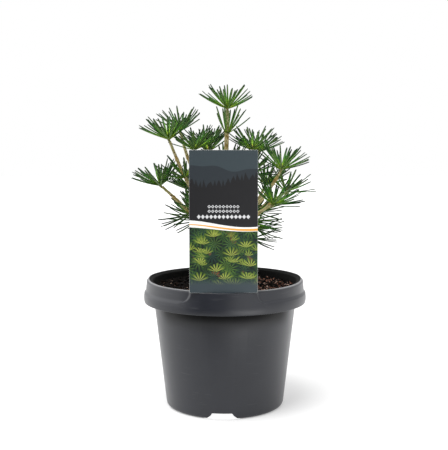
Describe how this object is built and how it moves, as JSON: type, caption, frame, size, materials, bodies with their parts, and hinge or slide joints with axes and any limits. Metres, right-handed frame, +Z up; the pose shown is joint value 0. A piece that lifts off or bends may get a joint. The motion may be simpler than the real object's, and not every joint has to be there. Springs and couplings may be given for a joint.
{
  "type": "potted japanese umbrella pine",
  "caption": "Young umbrella pine with upswept boughs and whorls of flat needles, growing in a skirted round nursery pot of bark compost, with a plain picture label in the rim.",
  "frame": {"origin": "middle of the flat underside of the pot", "axes": "+Z up along the leader, -Y towards the label at the front, +X to the right seen from the front"},
  "size_m": [0.213, 0.19, 0.3742],
  "materials": {
    "pot_plastic": "moulded anthracite plastic with a faint sheen",
    "compost": "dark moist bark compost with reddish chips and pale specks",
    "label_card": null,
    "leader_bark": "smooth golden tan young bark, olive near the top, ringed at its nodes",
    "bough_bark": "smooth tan young bark with darker scaly rings",
    "needles": "waxy green needles, fresher near the stem and darker at the tips"
  },
  "bodies": {
    "root": {"bough_back_foot": "bough_bark", "bough_back_high": "bough_bark", "bough_back_inner": "bough_bark", "bough_back_left": "bough_bark", "bough_back_low": "bough_bark", "bough_back_right": "bough_bark", "bough_front_inner": "bough_bark", "bough_front_left": "bough_bark", "bough_front_low": "bough_bark", "bough_left_foot": "bough_bark", "bough_left_high_back": "bough_bark", "bough_left_high_front": "bough_bark", "bough_left_inner": "bough_bark", "bough_left_low": "bough_bark", "bough_left_middle_back": "bough_bark", "bough_right_foot": "bough_bark", "bough_right_foot_back": "bough_bark", "bough_right_high": "bough_bark", "bough_right_inner": "bough_bark", "bough_right_low": "bough_bark", "bough_right_low_back": "bough_bark", "bough_right_middle": "bough_bark", "bough_right_middle_back": "bough_bark", "leader": "leader_bark", "needles_back_foot": "needles", "needles_back_high": "needles", "needles_back_inner": "needles", "needles_back_left": "needles", "needles_back_low": "needles", "needles_back_right": "needles", "needles_front_inner": "needles", "needles_front_left": "needles", "needles_front_low": "needles", "needles_leader_low": "needles", "needles_leader_node": "needles", "needles_leader_top": "needles", "needles_left_foot": "needles", "needles_left_high_back": "needles", "needles_left_high_front": "needles", "needles_left_high_front_side": "needles", "needles_left_inner": "needles", "needles_left_low": "needles", "needles_left_low_side": "needles", "needles_left_middle_back": "needles", "needles_right_foot": "needles", "needles_right_foot_back": "needles", "needles_right_high": "needles", "needles_right_inner": "needles", "needles_right_inner_side": "needles", "needles_right_low": "needles", "needles_right_low_back": "needles", "needles_right_low_side": "needles", "needles_right_middle": "needles", "needles_right_middle_back": "needles", "plant_label": "label_card", "pot": "pot_plastic", "soil": "compost"}
  },
  "joints": []
}
